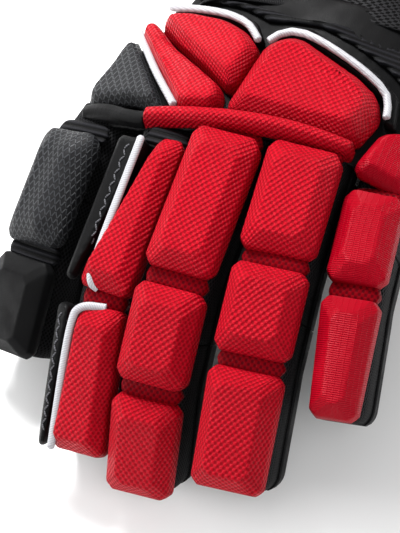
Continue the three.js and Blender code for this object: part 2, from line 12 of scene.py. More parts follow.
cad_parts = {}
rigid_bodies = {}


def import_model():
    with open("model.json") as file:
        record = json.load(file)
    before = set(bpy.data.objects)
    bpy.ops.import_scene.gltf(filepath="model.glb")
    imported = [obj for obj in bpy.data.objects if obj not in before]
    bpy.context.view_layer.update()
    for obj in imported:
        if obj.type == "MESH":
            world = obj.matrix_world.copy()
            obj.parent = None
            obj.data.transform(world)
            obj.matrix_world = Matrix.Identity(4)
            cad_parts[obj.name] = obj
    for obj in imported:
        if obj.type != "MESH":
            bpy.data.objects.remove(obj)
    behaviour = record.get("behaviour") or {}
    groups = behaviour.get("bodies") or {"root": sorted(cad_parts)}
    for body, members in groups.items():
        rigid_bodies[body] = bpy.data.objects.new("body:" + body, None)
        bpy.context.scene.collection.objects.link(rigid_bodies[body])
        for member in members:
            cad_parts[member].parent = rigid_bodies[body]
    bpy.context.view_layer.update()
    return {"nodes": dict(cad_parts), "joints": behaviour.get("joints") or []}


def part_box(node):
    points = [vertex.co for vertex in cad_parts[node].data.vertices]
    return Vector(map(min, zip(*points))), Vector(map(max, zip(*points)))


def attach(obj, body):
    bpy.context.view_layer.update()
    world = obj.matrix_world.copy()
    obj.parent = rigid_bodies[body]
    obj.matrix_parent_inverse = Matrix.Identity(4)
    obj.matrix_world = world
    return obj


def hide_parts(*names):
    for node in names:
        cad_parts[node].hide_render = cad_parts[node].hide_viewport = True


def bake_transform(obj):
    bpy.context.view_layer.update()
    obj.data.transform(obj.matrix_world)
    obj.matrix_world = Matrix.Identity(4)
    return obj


MM = 0.001
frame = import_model()
nodes = frame["nodes"]
scene = bpy.context.scene

# ---- Shader node groups ----


class Wiring:
    """A node tree being written, with short ways to add nodes and join them."""

    def __init__(self, tree):
        self.tree = tree

    def add(self, kind, **settings):
        node = self.tree.nodes.new(kind)
        for key, value in settings.items():
            setattr(node, key, value)
        return node

    def put(self, socket, value):
        if isinstance(value, bpy.types.NodeSocket):
            self.tree.links.new(value, socket)
        else:
            socket.default_value = value

    def math(self, operation, a, b=0.0, clamp=False):
        node = self.add("ShaderNodeMath", operation=operation, use_clamp=clamp)
        self.put(node.inputs[0], a)
        self.put(node.inputs[1], b)
        return node.outputs[0]

    def mix(self, share, a, b):
        node = self.add("ShaderNodeMix", data_type="RGBA")
        self.put(node.inputs["Factor"], share)
        self.put(node.inputs[6], a)
        self.put(node.inputs[7], b)
        return node.outputs[2]

    def ramp(self, value, low, high, to_low=0.0, to_high=1.0):
        node = self.add("ShaderNodeMapRange", interpolation_type="SMOOTHSTEP")
        for socket, number in zip(node.inputs, (value, low, high, to_low, to_high)):
            self.put(socket, number)
        return node.outputs[0]

    def noise(self, vector, scale, detail=2.0):
        node = self.add("ShaderNodeTexNoise")
        self.put(node.inputs["Vector"], vector)
        self.put(node.inputs["Scale"], scale)
        self.put(node.inputs["Detail"], detail)
        return node.outputs[0]

    def ripple(self, value, pitch):
        """A wave from -1 to 1 that repeats every pitch."""
        turns = self.math("DIVIDE", value, pitch)
        return self.math("COSINE", self.math("MULTIPLY", turns, 2 * math.pi))


def effect(name, colours, numbers):
    """Starts a node group that takes a place on the cloth and gives its colour, roughness and height.

    It returns what the group is written with: its wiring, its inputs, u and v of the place, and its outputs.
    """
    tree = bpy.data.node_groups.new(name, "ShaderNodeTree")
    tree.interface.new_socket("Place", in_out="INPUT", socket_type="NodeSocketVector")
    for label, value in colours.items():
        made = tree.interface.new_socket(label, in_out="INPUT", socket_type="NodeSocketColor")
        made.default_value = (*value, 1)
    for label, value in numbers.items():
        made = tree.interface.new_socket(label, in_out="INPUT", socket_type="NodeSocketFloat")
        made.default_value = value
    tree.interface.new_socket("Color", in_out="OUTPUT", socket_type="NodeSocketColor")
    tree.interface.new_socket("Roughness", in_out="OUTPUT", socket_type="NodeSocketFloat")
    tree.interface.new_socket("Height", in_out="OUTPUT", socket_type="NodeSocketFloat")
    wiring = Wiring(tree)
    given = wiring.add("NodeGroupInput").outputs
    result = wiring.add("NodeGroupOutput").inputs
    split = wiring.add("ShaderNodeSeparateXYZ")
    wiring.put(split.inputs[0], given["Place"])
    return wiring, given, split.outputs[0], split.outputs[1], result


def worn(wiring, place, colour, dulled, amount):
    """Lets a colour drift slowly towards a duller one, as handled cloth does."""
    drift = wiring.ramp(wiring.noise(place, 55.0, 3.0), 0.35, 0.75, 0.0, amount)
    return wiring.mix(drift, colour, dulled)


def pebbled_weave():
    """Cloth pressed into small round lumps, with fine slanting threads over them."""
    wiring, given, u, v, result = effect(
        "pebbled_weave",
        {"Thread": (0.43, 0.0006, 0.010), "Gap shade and wear": (0.22, 0.0, 0.004)},
        {"Across": 2.7 * MM, "Along": 3.1 * MM},
    )
    bumps = wiring.math("MULTIPLY", wiring.ripple(u, given["Across"]), wiring.ripple(v, given["Along"]))
    lump = wiring.ramp(bumps, -0.75, 0.85)
    strands = wiring.ripple(wiring.math("ADD", u, wiring.math("MULTIPLY", v, 0.45)), 0.62 * MM)
    threads = wiring.math("MULTIPLY", strands, 0.10)
    uneven = wiring.math("MULTIPLY", wiring.noise(given["Place"], 900.0, 1.0), 0.35)
    height = wiring.math("ADD", wiring.math("ADD", lump, threads), uneven)
    # painted shade: the gaps between the lumps take the darker gap shade colour, the lump tops the thread
    # colour
    tint = wiring.mix(wiring.ramp(bumps, -0.7, 0.35), given["Gap shade and wear"], given["Thread"])
    # the gap shade colour also serves as the duller tone that worn cloth drifts to at random
    wiring.put(result["Color"], worn(wiring, given["Place"], tint, given["Gap shade and wear"], 0.28))
    wiring.put(result["Roughness"], wiring.ramp(height, 0.1, 1.3, 0.62, 0.38))
    wiring.put(result["Height"], height)
    return wiring.tree


def ribbed_nylon():
    """Thin cloth with close ribs, crossed by lines, and slightly crumpled."""
    wiring, given, u, v, result = effect(
        "ribbed_nylon",
        {"Thread": (0.33, 0.0004, 0.009), "Gap shade and wear": (0.22, 0.0, 0.005)},
        {"Rib": 0.9 * MM, "Cross": 2.7 * MM},
    )
    ribs = wiring.ripple(v, given["Rib"])
    lines = wiring.ramp(wiring.ripple(u, given["Cross"]), 0.72, 0.98)
    crumple = wiring.math("MULTIPLY", wiring.noise(given["Place"], 170.0, 2.0), 1.5)
    height = wiring.math("ADD", wiring.math("MULTIPLY", ribs, 0.42), wiring.math("MULTIPLY", lines, 0.5))
    height = wiring.math("ADD", height, crumple)
    # painted shade: the troughs between the ribs take the darker gap shade colour
    tint = wiring.mix(wiring.ramp(ribs, -1.0, 0.3), given["Gap shade and wear"], given["Thread"])
    # the gap shade colour also serves as the duller tone that worn cloth drifts to at random
    wiring.put(result["Color"], worn(wiring, given["Place"], tint, given["Gap shade and wear"], 0.25))
    wiring.put(result["Roughness"], wiring.ramp(ribs, -1.0, 1.0, 0.5, 0.33))
    wiring.put(result["Height"], height)
    return wiring.tree


def diamond_emboss():
    """Raised crossing lines with a sunk spot where they meet."""
    wiring, given, u, v, result = effect(
        "diamond_emboss",
        {"Ground": (0.004, 0.004, 0.005), "Lit raised": (0.034, 0.036, 0.040)},
        {"Pitch": 3.6 * MM, "Slant": 0.62},
    )
    lean = wiring.math("MULTIPLY", v, given["Slant"])
    one = wiring.ripple(wiring.math("ADD", u, lean), given["Pitch"])
    other = wiring.ripple(wiring.math("SUBTRACT", u, lean), given["Pitch"])
    line = wiring.ramp(wiring.math("MAXIMUM", one, other), 0.62, 0.95)
    hole = wiring.ramp(wiring.math("ADD", one, other), 1.55, 1.9)
    raised = wiring.math("SUBTRACT", line, hole, clamp=True)
    # painted highlight: the raised lines are lighter than the ground and the sunk spots
    wiring.put(result["Color"], wiring.mix(raised, given["Ground"], given["Lit raised"]))
    wiring.put(result["Roughness"], wiring.ramp(raised, 0.0, 1.0, 0.62, 0.42))
    wiring.put(result["Height"], raised)
    return wiring.tree


def open_mesh():
    """Knitted mesh whose holes show dark."""
    wiring, given, u, v, result = effect(
        "open_mesh",
        {"Yarn": (0.010, 0.010, 0.011), "Hole shade": (0.0006, 0.0006, 0.0006)},
        {"Across": 1.7 * MM, "Along": 2.3 * MM},
    )
    cells = wiring.math("MULTIPLY", wiring.ripple(u, given["Across"]), wiring.ripple(v, given["Along"]))
    yarn = wiring.ramp(cells, -0.55, 0.2)
    # painted shade: the holes take a darker colour for the shade seen through them
    wiring.put(result["Color"], wiring.mix(yarn, given["Hole shade"], given["Yarn"]))
    wiring.put(result["Roughness"], wiring.ramp(yarn, 0.0, 1.0, 0.9, 0.6))
    wiring.put(result["Height"], yarn)
    return wiring.tree


def grained_leather():
    """Soft leather with a pebble grain and slow changes of shine."""
    wiring, given, _, _, result = effect(
        "grained_leather",
        {"Skin": (0.007, 0.007, 0.008), "Crease shade": (0.002, 0.002, 0.002)},
        {"Grain": 900.0, "Bend": 70.0},
    )
    cells = wiring.add("ShaderNodeTexVoronoi", feature="DISTANCE_TO_EDGE")
    wiring.put(cells.inputs["Vector"], given["Place"])
    wiring.put(cells.inputs["Scale"], given["Grain"])
    pebble = wiring.ramp(cells.outputs["Distance"], 0.0, 0.25)
    slow = wiring.noise(given["Place"], given["Bend"], 4.0)
    # painted shade: the creases between the grain's pebbles are darker than the pebbles
    wiring.put(result["Color"], wiring.mix(pebble, given["Crease shade"], given["Skin"]))
    wiring.put(result["Roughness"], wiring.ramp(slow, 0.3, 0.7, 0.42, 0.66))
    wiring.put(result["Height"], wiring.math("ADD", wiring.math("MULTIPLY", pebble, 0.35), slow))
    return wiring.tree


def wrapped_braid():
    """Bright thread wound aslant round a cord."""
    wiring, given, u, v, result = effect(
        "wrapped_braid",
        {"Shine": (0.40, 0.40, 0.42), "Shade": (0.29, 0.29, 0.31)},
        {"Twist": 1.1 * MM},
    )
    wraps = wiring.ripple(wiring.math("ADD", v, wiring.math("MULTIPLY", u, 0.5)), given["Twist"])
    wiring.put(result["Color"], wiring.mix(wiring.ramp(wraps, -1.0, 0.0), given["Shade"], given["Shine"]))
    wiring.put(result["Roughness"], wiring.ramp(wraps, -1.0, 1.0, 0.42, 0.28))
    wiring.put(result["Height"], wraps)
    return wiring.tree


def ribbed_band():
    """Thick elastic with rounded ribs across it."""
    wiring, given, _, v, result = effect(
        "ribbed_band",
        {"Ridge": (0.010, 0.010, 0.012), "Groove shade": (0.0015, 0.0015, 0.0015)},
        {"Pitch": 3.2 * MM},
    )
    ribs = wiring.ripple(v, given["Pitch"])
    knit = wiring.math("MULTIPLY", wiring.noise(given["Place"], 1500.0, 2.0), 0.4)
    # painted shade: the grooves between the ribs are darker than the ridges
    wiring.put(result["Color"], wiring.mix(wiring.ramp(ribs, -1.0, 0.4), given["Groove shade"], given["Ridge"]))
    wiring.put(result["Roughness"], wiring.ramp(knit, 0.1, 0.3, 0.55, 0.75))
    wiring.put(result["Height"], wiring.math("ADD", ribs, knit))
    return wiring.tree


def moulded_plastic():
    """Plain pale plastic, faintly mottled."""
    wiring, given, _, _, result = effect(
        "moulded_plastic",
        {"Plastic": (0.66, 0.65, 0.60), "Dusty": (0.55, 0.54, 0.50)},
        {"Mottle": 120.0},
    )
    mottle = wiring.noise(given["Place"], given["Mottle"], 3.0)
    wiring.put(result["Color"], wiring.mix(mottle, given["Plastic"], given["Dusty"]))
    wiring.put(result["Roughness"], wiring.ramp(mottle, 0.3, 0.7, 0.35, 0.5))
    wiring.put(result["Height"], mottle)
    return wiring.tree


def finish_of(name, group, colours=None, numbers=None, bump=(0.6, 0.4 * MM), shine=0.09, tint=(1, 1, 1)):
    """A material whose colour, roughness and relief come from one group; bump is strength and depth."""
    material = bpy.data.materials.new(name)
    material.use_nodes = True
    wiring = Wiring(material.node_tree)
    shader = material.node_tree.nodes["Principled BSDF"]
    place = wiring.add("ShaderNodeAttribute", attribute_name="cloth")
    made = wiring.add("ShaderNodeGroup", node_tree=group)
    wiring.put(made.inputs["Place"], place.outputs["Vector"])
    for label, value in (colours or {}).items():
        made.inputs[label].default_value = (*value, 1)
    for label, value in (numbers or {}).items():
        made.inputs[label].default_value = value
    relief = wiring.add("ShaderNodeBump")
    relief.inputs["Strength"].default_value = bump[0]
    relief.inputs["Distance"].default_value = bump[1]
    wiring.put(relief.inputs["Height"], made.outputs["Height"])
    wiring.put(shader.inputs["Base Color"], made.outputs["Color"])
    wiring.put(shader.inputs["Roughness"], made.outputs["Roughness"])
    wiring.put(shader.inputs["Normal"], relief.outputs["Normal"])
    shader.inputs["Specular IOR Level"].default_value = shine
    shader.inputs["Specular Tint"].default_value = (*tint, 1)
    return material


def make_finishes():
    weave, nylon, leather = pebbled_weave(), ribbed_nylon(), grained_leather()
    mesh, diamonds, braid = open_mesh(), diamond_emboss(), wrapped_braid()
    band, plastic = ribbed_band(), moulded_plastic()
    # painted shade: a darker copy of the red weave, for the rolls that fill the creases between pads
    shaded_red = {"Thread": (0.17, 0.0, 0.003), "Gap shade and wear": (0.07, 0.0, 0.002)}
    grey_thread = {"Shine": (0.11, 0.11, 0.12), "Shade": (0.05, 0.05, 0.055)}
    rosy = (1, 0.3, 0.35)
    return {
        "red weave": finish_of("red weave", weave, bump=(1.0, 0.6 * MM), shine=0.22, tint=rosy),
        "shaded red weave": finish_of("shaded red weave", weave, shaded_red, bump=(0.5, 0.3 * MM), tint=rosy),
        "red nylon": finish_of("red ribbed nylon", nylon, bump=(0.6, 0.4 * MM), shine=0.18, tint=rosy),
        "diamonds": finish_of("diamond embossed shell", diamonds, bump=(1.0, 0.5 * MM), shine=0.2),
        "mesh": finish_of("open mesh", mesh, bump=(0.8, 0.4 * MM)),
        "leather": finish_of("palm leather", leather, bump=(0.5, 0.35 * MM)),
        "shell": finish_of(
            "black shell", leather, {"Skin": (0.0025, 0.0025, 0.003)}, {"Grain": 1400.0}, (0.35, 0.25 * MM)
        ),
        "band": finish_of("ribbed band", band, bump=(0.9, 0.7 * MM)),
        "braid": finish_of("silver braid", braid, bump=(0.35, 0.12 * MM), shine=0.5),
        "thread": finish_of("stitching thread", braid, grey_thread, bump=(0.3, 0.1 * MM)),
        "plastic": finish_of("guard plastic", plastic, bump=(0.1, 0.1 * MM)),
    }


FINISHES = make_finishes()

# ---- Mesh tools ----


def points_of(obj):
    flat = np.zeros(len(obj.data.vertices) * 3)
    obj.data.vertices.foreach_get("co", flat)
    return flat.reshape(-1, 3)


def normals_of(obj):
    flat = np.zeros(len(obj.data.vertices) * 3)
    obj.data.vertices.foreach_get("normal", flat)
    return flat.reshape(-1, 3)


def set_points(obj, points):
    obj.data.vertices.foreach_set("co", np.asarray(points, float).ravel())
    obj.data.update()


def seen_from(axes, points):
    """The points as the frame sees them."""
    return (points - np.array(axes.translation)) @ np.array(axes.to_3x3())


def placed_by(axes, local):
    """Points given in the frame, as the room sees them."""
    return local @ np.array(axes.to_3x3()).T + np.array(axes.translation)


def smoothstep(value, low, high):
    t = np.clip((np.asarray(value, float) - low) / (high - low), 0, 1)
    return t * t * (3 - 2 * t)


def settle(obj):
    """Makes what the modifiers show into the mesh itself."""
    seen = obj.evaluated_get(bpy.context.evaluated_depsgraph_get())
    mesh = bpy.data.meshes.new_from_object(seen)
    obj.modifiers.clear()
    obj.data = mesh


def soft_copy(name, *sources, voxel=1.8, rounds=2, grow=0.0):
    """One mesh of small even faces round these CAD solids, with its edges eased."""
    mesh = bpy.data.meshes.new(name)
    bm = bmesh.new()
    for source in sources:
        bm.from_mesh(nodes[source].data)
    bmesh.ops.remove_doubles(bm, verts=bm.verts, dist=0.01 * MM)
    bm.to_mesh(mesh)
    bm.free()
    obj = bpy.data.objects.new(name, mesh)
    scene.collection.objects.link(obj)
    remesh = obj.modifiers.new("even", "REMESH")
    remesh.mode = "VOXEL"
    remesh.voxel_size = voxel * MM
    ease = obj.modifiers.new("ease", "SMOOTH")
    ease.factor = 0.5
    ease.iterations = rounds
    settle(obj)
    if grow:
        set_points(obj, points_of(obj) + normals_of(obj) * grow * MM)
    return obj


def stuff(obj, held, pressure=3.0, limit=0.7):
    """Lets filling press out the cloth of a pad that is sewn down where held says."""
    start = points_of(obj)
    scale = 10.0  # the solver is steadier on a pad of chair-cushion size
    steps = 20
    set_points(obj, start * scale)
    sewn = obj.vertex_groups.new(name="sewn")
    sewn.add([int(i) for i in np.flatnonzero(held)], 1.0, "REPLACE")
    cloth = obj.modifiers.new("filling", "CLOTH")
    cloth.settings.quality = 4
    cloth.settings.mass = 0.3
    cloth.settings.tension_stiffness = 12
    cloth.settings.compression_stiffness = 12
    cloth.settings.bending_stiffness = 0.8
    cloth.settings.use_pressure = True
    cloth.settings.uniform_pressure_force = pressure
    cloth.settings.vertex_group_mass = "sewn"
    cloth.settings.effector_weights.gravity = 0
    cloth.collision_settings.use_collision = False
    cloth.point_cache.frame_start, cloth.point_cache.frame_end = 1, steps
    for number in range(1, steps + 1):
        scene.frame_set(number)
    settle(obj)
    obj.vertex_groups.clear()
    scene.frame_set(1)
    moved = points_of(obj) / scale - start
    length = np.linalg.norm(moved, axis=1, keepdims=True)
    set_points(obj, start + moved * np.minimum(1, limit * MM / np.maximum(length, 1e-9)))


def refine(obj):
    """Divides every face once, rounding the piece a little."""
    divide = obj.modifiers.new("divide", "SUBSURF")
    divide.levels = 1
    settle(obj)


def write_cloth(obj, values):
    """Keeps each point's place on the cloth: across it, along it, and how far down a side."""
    attribute = obj.data.attributes.get("cloth") or obj.data.attributes.new("cloth", "FLOAT_VECTOR", "POINT")
    attribute.data.foreach_set("vector", np.asarray(values, float).ravel())


def lay_cloth(obj, axes):
    """Writes where each point lies on the cloth, which runs over the top and on down the sides."""
    normals = normals_of(obj) @ np.array(axes.to_3x3())
    x, y, z = seen_from(axes, points_of(obj)).T
    top = normals[:, 2] > 0.85
    terms = np.stack([np.ones_like(x), x, y, x * x, x * y, y * y], 1)
    fit = np.linalg.lstsq(terms[top], z[top], rcond=None)[0]
    drop = np.maximum(0, terms @ fit - z)
    side = np.abs(normals[:, 0]) + np.abs(normals[:, 1]) + 1e-6
    u = x + drop * normals[:, 0] / side
    v = y + drop * normals[:, 1] / side
    write_cloth(obj, np.stack([u, v, drop], 1))


def dress(obj, finish, body=None):
    """Gives a piece its finish and, where it doesn't cross a hinge, the body that it moves with."""
    obj.data.materials.clear()
    obj.data.materials.append(FINISHES[finish])
    obj.data.polygons.foreach_set("use_smooth", [True] * len(obj.data.polygons))
    obj.data.update()
    if "cloth" not in obj.data.attributes:
        write_cloth(obj, points_of(obj))
    if body:
        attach(obj, body)


def mesh_piece(name, points, faces):
    """A new piece from its points and faces, with its faces turned outwards."""
    mesh = bpy.data.meshes.new(name)
    mesh.from_pydata([tuple(p) for p in points], [], faces)
    mesh.validate()
    bm = bmesh.new()
    bm.from_mesh(mesh)
    bmesh.ops.recalc_face_normals(bm, faces=bm.faces)
    bm.to_mesh(mesh)
    bm.free()
    obj = bpy.data.objects.new(name, mesh)
    scene.collection.objects.link(obj)
    return obj


def tube_faces(rings, sides, first_cap=True, last_cap=True):
    """The faces of a tube whose points run ring by ring."""
    faces = []
    for r in range(rings - 1):
        for k in range(sides):
            a, b = r * sides + k, r * sides + (k + 1) % sides
            faces.append((a, b, b + sides, a + sides))
    if first_cap:
        faces.append(tuple(range(sides))[::-1])
    if last_cap:
        faces.append(tuple(range((rings - 1) * sides, rings * sides)))
    return faces


# ---- How the fingers stand ----


def axes_at(place, x, z):
    """A frame with its origin at place, x and z kept as given."""
    y = z.cross(x)
    made = Matrix((x, y, z)).transposed().to_4x4()
    made.translation = place
    return made


def pad_axes(pad, joint):
    """The pad's own frame: x along its hinge, z out of the flat face that it is sewn down by."""
    areas = {}
    for face in nodes[pad].data.polygons:
        if face.normal.z < -0.3:
            key = tuple(round(c, 2) for c in face.normal)
            areas[key] = areas.get(key, 0) + face.area
    z = -Vector(max(areas, key=areas.get)).normalized()
    hinge = Vector(joint["axis"])
    return axes_at(Vector(joint["pos_m"]), (hinge - z * hinge.dot(z)).normalized(), z)


digits = {}
for joint in frame["joints"]:
    digit = joint["name"].split("_")[0]
    if digit != "cuff":
        digits.setdefault(digit, []).append(joint)


def segments_of(digit):
    """Each segment of a digit: its pad, hinge, bodies, own frame, the frame before it, and its pad's size."""
    found = []
    for number, joint in enumerate(digits[digit], 1):
        pad = f"{digit}_pad_{number}"
        axes = pad_axes(pad, joint)
        if found:
            before = found[-1]["axes"].copy()
            before.translation = axes.translation
        else:
            side = axes.col[0].xyz if digit == "thumb" else Vector((joint["axis"][0], joint["axis"][1], 0))
            side = side.normalized()
            up = (Vector((0, 0, 1)) - side * side.z).normalized()
            before = axes_at(axes.translation, side, up)
        local = seen_from(axes, points_of(nodes[pad]))
        found.append(
            {
                "pad": pad, "joint": joint, "body": joint["child"], "parent": joint["parent"],
                "axes": axes, "before": before, "low": local.min(0), "high": local.max(0),
                "number": number,
            }
        )
    return found


def bend_over(local, segment, reach):
    """Places points given along a straight finger so that they turn with its hinge."""
    share = smoothstep(-local[:, 1], -reach, reach)[:, None]
    points = placed_by(segment["before"], local) * (1 - share) + placed_by(segment["axes"], local) * share
    points[:, 2] = np.maximum(points[:, 2], 0)  # cloth lies flat where it meets the table
    return points


def blend_at_hinge(obj):
    """Bakes a piece's placement into its points, leaving it on no body."""
    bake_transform(obj)


all_segments = {digit: segments_of(digit) for digit in digits}

# ---- Padded pieces ----


def firm_faces(source, lean):
    """The flat faces of the foam block inside a pad, to hold its cloth against."""
    mesh = nodes[source].data.copy()
    block = bpy.data.objects.new("block", mesh)
    if lean:
        lean(block)
    tree = BVHTree.FromPolygons([v.co for v in mesh.vertices], [p.vertices for p in mesh.polygons])
    bpy.data.objects.remove(block)
    return tree


def draw_tight(obj, tree, cover, share):
    """Draws a pad's cloth back towards the foam's flat faces, so that its edges stay crisp."""
    points = points_of(obj)
    for i, point in enumerate(points):
        near, out, _, _ = tree.find_nearest(Vector(point))
        points[i] = point + (np.array(near + out * cover * MM) - point) * share
    set_points(obj, points)


def padded_piece(
    name, source, axes, finish, slot, body, fill=0.7, pressure=3.0,
    lean=None, voxel=1.4, rounds=1, grow=0.35, rise=0.7, firm=0.6,
):
    """A stuffed pad made from one CAD block: cloth over filling, sewn down round its foot."""
    obj = soft_copy(name, source, voxel=voxel, rounds=rounds, grow=grow)
    if lean:
        lean(obj)
    height = seen_from(axes, points_of(obj))[:, 2]
    held = height < height.min() + 0.12 * (height.max() - height.min()) + 1.5 * MM
    stuff(obj, held, pressure, rise)
    refine(obj)
    draw_tight(obj, firm_faces(source, lean), grow, firm)
    lay_cloth(obj, axes)
    dress(obj, finish, body)
    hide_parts(source)
    return obj


def closer_ends(segment, room_near, room_far, widen=0.0, ridge=0.0):
    """Leans a finger pad's ends towards its neighbours', so that the folds stay narrow."""

    eased = 9 * MM  # how far from an end the lean begins
    crest_x, crest_slant, crest_half = 5 * MM, 0.12, 13 * MM

    def lean(obj):
        local = seen_from(segment["axes"], points_of(obj))
        low, high = local.min(0), local.max(0)
        rise = np.clip((local[:, 2] - low[2]) / (high[2] - low[2]), 0, 1)
        near = smoothstep(local[:, 1], high[1] - eased, high[1])
        far = 1 - smoothstep(local[:, 1], low[1], low[1] + eased)
        local[:, 1] += rise * (near * room_near - far * room_far) * MM
        local[:, 0] -= widen * MM * smoothstep(-local[:, 0], 0, eased)
        off_crest = np.abs(local[:, 0] - crest_x - crest_slant * (local[:, 1] - low[1]))
        local[:, 2] += ridge * MM * rise**3 * np.clip(1 - off_crest / crest_half, 0, 1)
        set_points(obj, placed_by(segment["axes"], local))

    return lean


def fold_room(segment):
    """How far a pad's top edge may lean over the fold in front of it, in millimetres."""
    turn = segment["before"].col[2].xyz.angle(segment["axes"].col[2].xyz)
    back = math.radians(-segment["joint"]["range_deg"][0])
    top = segment["high"][2] / MM
    if segment["number"] == 1:
        return min(6.5, 2.8 + top * (math.tan(turn) - math.tan(back)))
    return 1.0 + top * (math.tan(turn / 2) - math.tan(back / 2))


def finger_pads():
    """The stuffed pads along the back of each finger and the thumb."""
    looks = {
        "index": ("red weave", "red_weave"),
        "middle": ("red weave", "red_weave"),
        "ring": ("red weave", "red_weave"),
        "little": ("red nylon", "red_ribbed"),
        "thumb": ("diamonds", "black_shell"),
    }
    for digit, segments in all_segments.items():
        finish, slot = looks[digit]
        widen = 1.8 if digit == "index" else 0.0
        for segment in segments:
            last = segment is segments[-1]
            far = 0.0 if last else fold_room(segments[segment["number"]])
            ridge = 2.6 if digit == "thumb" and not last else 0.0
            padded_piece(
                f"{digit}_soft_pad_{segment['number']}", segment["pad"], segment["axes"],
                "shell" if digit == "thumb" and last else finish, slot, segment["body"],
                lean=closer_ends(segment, fold_room(segment), far, widen, ridge),
                rise=0.5, firm=0.0 if ridge else 0.8, grow=0.1 if last else 0.3,
            )


def fold_roll(segment, finish, slot):
    """The bead of cloth that fills the crease in front of a finger pad; the red beads are coloured with
    painted shade.
    """
    low, high = segment["low"], segment["high"]
    half = (high[0] - low[0]) / 2 - 1.6 * MM
    middle = (high[0] + low[0]) / 2
    top = high[2] - (10.0 if segment["number"] == 1 else 8.0) * MM
    foot = low[2] - 1.5 * MM
    thick, sag_at_sides, bend_reach = 3.3 * MM, 1.2 * MM, 7 * MM
    sides, rings = 20, 25
    points = []
    for r in range(rings):
        across = -1 + 2 * r / (rings - 1)
        shrink = math.sqrt(max(0.0, 1 - abs(across) ** 8)) * 0.98 + 0.02
        sag = sag_at_sides * across * across
        for k in range(sides):
            angle = 2 * math.pi * k / sides
            out = thick * math.copysign(abs(math.cos(angle)) ** 0.8, math.cos(angle)) * shrink
            rise = math.copysign(abs(math.sin(angle)) ** 0.7, math.sin(angle))
            z = (top + foot) / 2 + (top - foot) / 2 * rise * (0.55 + 0.45 * shrink)
            belly = 0.55 + 0.75 * (z - foot) / (top - foot)
            points.append((middle + across * half, out * belly, z - sag))
    bent = bend_over(np.array(points), segment, bend_reach)
    obj = mesh_piece(f"{segment['joint']['name']}_fold", bent, tube_faces(rings, sides))
    refine(obj)
    lay_cloth(obj, segment["axes"])
    dress(obj, finish)
    blend_at_hinge(obj)


def rounded_section(half, low, high, count):
    """Points round a finger's cross-section, from its width and its lowest and highest level."""
    ring = []
    for k in range(count):
        angle = 2 * math.pi * k / count
        c, s = math.cos(angle), math.sin(angle)
        x = half * math.copysign(abs(c) ** 0.42, c)
        z = (low + high) / 2 + (high - low) / 2 * math.copysign(abs(s) ** 0.5, s)
        ring.append((x, z))
    return ring


FINGER_FOOT = -13.0 * MM  # the level of a finger's palm side, from its hinge
FINGER_BEND = 9 * MM  # how far each side of a hinge the cloth bends


def crease_at(along):
    """How far the palm side's cloth rises and dips at a distance along from the hinge."""
    return 0.8 * MM * math.cos(along / (2.6 * MM)) * math.exp(-((along / (9 * MM)) ** 2))


def fullness_at(along, tip):
    """How full a last segment still is, as it rounds off over the stretch before its tip."""
    to_tip = (along - tip) / (9 * MM)
    return math.sqrt(max(0.02, 1 - (1 - min(1, to_tip)) ** 2.4))


def finger_lining(segment, back, ahead, last):
    """The soft tube of one joint, from the middle of the part before to the middle of its own."""
    name = segment["joint"]["name"]
    low, high = segment["low"], segment["high"]
    half = (high[0] - low[0]) / 2 - 1.0 * MM
    top, crease_depth = 13.6 * MM, 12 * MM
    sides, rings = 56, 46
    points, laid = [], []
    for r in range(rings):
        along = back - (back + ahead) * r / (rings - 1)
        full = fullness_at(along, low[1]) if last else 1.0
        girth = 0.0
        ring = rounded_section(half * (0.55 + 0.45 * full), FINGER_FOOT * full, top, sides)
        for k, (x, z) in enumerate(ring):
            lower = float(smoothstep(-z, -4 * MM, crease_depth))
            push = 1 + crease_at(along) * lower / crease_depth
            points.append((x * push, along, z * push if z < 0 else z))
            if k:
                girth += math.dist(ring[k - 1], (x, z))
            laid.append((girth, along, 0))
    bent = bend_over(np.array(points), segment, FINGER_BEND)
    obj = mesh_piece(f"{name}_lining", bent, tube_faces(rings, sides))
    write_cloth(obj, laid)
    dress(obj, "mesh")
    blend_at_hinge(obj)
    return obj


def finger_palm(segment, back, ahead, last):
    """The leather strip along the palm side of a finger joint, turned up at both edges."""
    name = segment["joint"]["name"]
    low, high = segment["low"], segment["high"]
    half = (high[0] - low[0]) / 2 - 1.0 * MM
    rings, across = 46, 25
    reach = half + 9 * MM
    thick, lap, round_off = 0.9 * MM, 0.25 * MM, 4 * MM
    points = []
    for r in range(rings):
        along = back - (back + ahead) * r / (rings - 1)
        full = fullness_at(along, low[1]) if last else 1.0
        for layer in (lap, -thick):
            for k in range(across):
                way = -reach + 2 * reach * k / (across - 1)
                way = way if layer > 0 else -way
                flat = min(abs(way), half - round_off)
                turned = min(1.0, max(0.0, (abs(way) - half + round_off) / (round_off * math.pi / 2)))
                beyond = max(0.0, abs(way) - (half - round_off) - 2 * math.pi * MM)
                angle = turned * math.pi / 2
                x = flat + math.sin(angle) * (round_off - layer)
                z = FINGER_FOOT + round_off - math.cos(angle) * (round_off - layer) + beyond
                x = math.copysign(x * (0.55 + 0.45 * full), way)
                z -= crease_at(along) * (angle < 1)
                points.append((x, along, z * (full if z < 0 else 1)))
    local = np.array(points)
    obj = mesh_piece(f"{name}_palm", bend_over(local, segment, FINGER_BEND), tube_faces(rings, 2 * across))
    write_cloth(obj, local)
    dress(obj, "leather")
    blend_at_hinge(obj)


